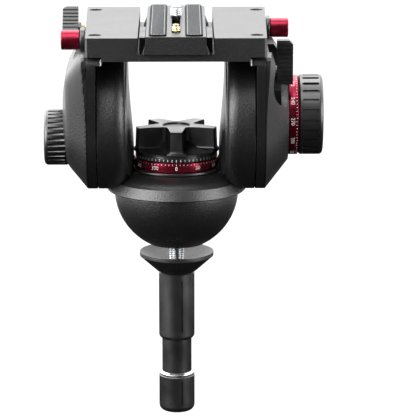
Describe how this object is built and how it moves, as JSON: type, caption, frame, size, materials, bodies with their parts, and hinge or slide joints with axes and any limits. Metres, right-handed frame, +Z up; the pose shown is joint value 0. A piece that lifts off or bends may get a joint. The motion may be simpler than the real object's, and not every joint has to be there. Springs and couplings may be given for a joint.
{
  "type": "fluid video head",
  "caption": "Fluid video head with half ball base, yoke arms, tilting bridge with a sliding camera plate, drag and counterbalance knobs, lock levers and a long tie-down handle.",
  "frame": {"origin": "centre of the half ball's sphere, on the pan axis, which is the bowl seat's centre", "axes": "+Z up along the pan axis, +X along the tilt axis towards the tilt drag knob, the lens side towards -Y"},
  "size_m": [0.2234, 0.166, 0.3323],
  "materials": {
    "satin_black": "fine satin powder coat",
    "knob_black": "satin moulded",
    "red_anodised": "red anodised, satin",
    "bright_steel": "brushed",
    "chrome": "polished",
    "brass": "turned",
    "machined_grey": "machined",
    "rubber": "matt",
    "level_vial": "clear tinted"
  },
  "bodies": {
    "base": {"half_ball": "satin_black", "pan_shaft": "machined_grey", "shaft_nut": "bright_steel", "pan_drag_rotor": "machined_grey", "tie_down_stud": "bright_steel"},
    "clamp": {"clamp_cup": "satin_black"},
    "handle": {"handle_sleeve": "knob_black", "handle_collar": "machined_grey", "handle_grip": "knob_black"},
    "yoke": {"pan_housing": "satin_black", "left_arm": "satin_black", "right_arm": "satin_black", "pan_bearing": "bright_steel", "pan_drag_cup": "machined_grey", "pan_index_ring": "knob_black", "pan_red_ring": "red_anodised", "bubble_level": "level_vial", "left_tilt_bearing": "bright_steel", "right_tilt_bearing": "bright_steel", "counterbalance_hub": "machined_grey", "tilt_drag_stator": "machined_grey"},
    "pan_lock": {"pan_lock_lever": "knob_black", "pan_lock_screw": "brass"},
    "pan_knob": {"pan_drag_knob": "knob_black", "pan_scale_ring": "knob_black"},
    "cradle": {"platform": "satin_black", "left_side_plate": "satin_black", "right_side_plate": "satin_black", "left_dome": "satin_black", "right_housing": "satin_black", "left_axle": "bright_steel", "right_axle": "bright_steel", "tilt_drag_rotor": "machined_grey", "counterbalance_springs": "bright_steel", "left_front_screw": "bright_steel", "left_rear_screw": "bright_steel", "right_front_screw": "bright_steel", "right_rear_screw": "bright_steel", "left_rosette": "machined_grey", "right_rosette": "machined_grey", "tilt_red_ring": "red_anodised", "fixed_jaw": "knob_black", "left_bezel": "knob_black", "right_bezel": "knob_black"},
    "clamp_jaw_slider": {"clamp_jaw": "knob_black"},
    "clamp_lever": {"plate_clamp_lever": "knob_black", "plate_clamp_nut": "brass"},
    "tilt_lever": {"tilt_lock_lever": "knob_black", "tilt_lock_nut": "brass"},
    "tilt_knob": {"tilt_drag_knob": "knob_black"},
    "balance_knob": {"counterbalance_knob": "knob_black"},
    "left_push": {"left_button": "red_anodised"},
    "right_push": {"right_button": "red_anodised"},
    "plate": {"sliding_plate": "satin_black", "left_pad": "rubber", "right_pad": "rubber"},
    "large_slider": {"large_screw_carriage": "bright_steel"},
    "large_screw": {"large_camera_screw": "chrome"},
    "small_slider": {"small_screw_carriage": "bright_steel"},
    "small_screw": {"small_camera_screw": "brass"}
  },
  "joints": [
    {"name": "tie_down_travel", "type": "slide", "parent": "base", "child": "clamp", "axis": [0, 0, 1], "range_m": [-0.0105, 0.00525]},
    {"name": "tie_down_turn", "type": "hinge", "parent": "clamp", "child": "handle", "pos_m": [0, 0, -0.1], "axis": [0, 0, 1], "range_deg": [-2180, 1090]},
    {"name": "pan", "type": "hinge", "parent": "base", "child": "yoke", "pos_m": [0, 0, 0], "axis": [0, 0, 1], "continuous": true},
    {"name": "pan_lock_turn", "type": "hinge", "parent": "yoke", "child": "pan_lock", "pos_m": [0.012, 0.062, 0.0085], "axis": [0, 1, 0], "range_deg": [-70, 20]},
    {"name": "pan_drag_turn", "type": "hinge", "parent": "yoke", "child": "pan_knob", "pos_m": [0, 0, 0.04], "axis": [0, 0, 1], "range_deg": [-150, 150]},
    {"name": "tilt", "type": "hinge", "parent": "yoke", "child": "cradle", "pos_m": [0, 0, 0.0608], "axis": [1, 0, 0], "range_deg": [-60, 90]},
    {"name": "tilt_drag_turn", "type": "hinge", "parent": "cradle", "child": "tilt_knob", "pos_m": [0.107, 0, 0.0608], "axis": [1, 0, 0], "range_deg": [-150, 150]},
    {"name": "balance_turn", "type": "hinge", "parent": "cradle", "child": "balance_knob", "pos_m": [-0.096, 0, 0.0423], "axis": [1, 0, 0], "range_deg": [-150, 150]},
    {"name": "tilt_lock_turn", "type": "hinge", "parent": "cradle", "child": "tilt_lever", "pos_m": [0.08, -0.035, 0.1015], "axis": [1, 0, 0], "range_deg": [-45, 45]},
    {"name": "clamp_lever_turn", "type": "hinge", "parent": "cradle", "child": "clamp_lever", "pos_m": [-0.08, 0.038, 0.125], "axis": [1, 0, 0], "range_deg": [0, 61]},
    {"name": "clamp_jaw_travel", "type": "slide", "parent": "cradle", "child": "clamp_jaw_slider", "axis": [-1, 0, 0], "range_m": [0, 0.001]},
    {"name": "left_button_push", "type": "slide", "parent": "cradle", "child": "left_push", "axis": [1, 0, 0], "range_m": [0, 0.003], "stiffness_N_per_m": 300, "springref_m": -0.003},
    {"name": "right_button_push", "type": "slide", "parent": "cradle", "child": "right_push", "axis": [-1, 0, 0], "range_m": [0, 0.003], "stiffness_N_per_m": 300, "springref_m": -0.003},
    {"name": "plate_travel", "type": "slide", "parent": "cradle", "child": "plate", "axis": [0, 1, 0], "range_m": [-0.04, 0.04]},
    {"name": "large_screw_travel", "type": "slide", "parent": "plate", "child": "large_slider", "axis": [0, 1, 0], "range_m": [-0.03, 0.004]},
    {"name": "large_screw_turn", "type": "hinge", "parent": "large_slider", "child": "large_screw", "pos_m": [0, 0.018, 0.13], "axis": [0, 0, 1], "continuous": true},
    {"name": "small_screw_travel", "type": "slide", "parent": "plate", "child": "small_slider", "axis": [0, 1, 0], "range_m": [0, 0.03]},
    {"name": "small_screw_turn", "type": "hinge", "parent": "small_slider", "child": "small_screw", "pos_m": [0, -0.061, 0.13], "axis": [0, 0, 1], "continuous": true}
  ],
  "couplings": [
    {"joint": "tie_down_turn", "follows": "tie_down_travel", "rad_per_m": 3590.4},
    {"joint": "clamp_lever_turn", "follows": "clamp_jaw_travel", "rad_per_m": 1047.2}
  ]
}
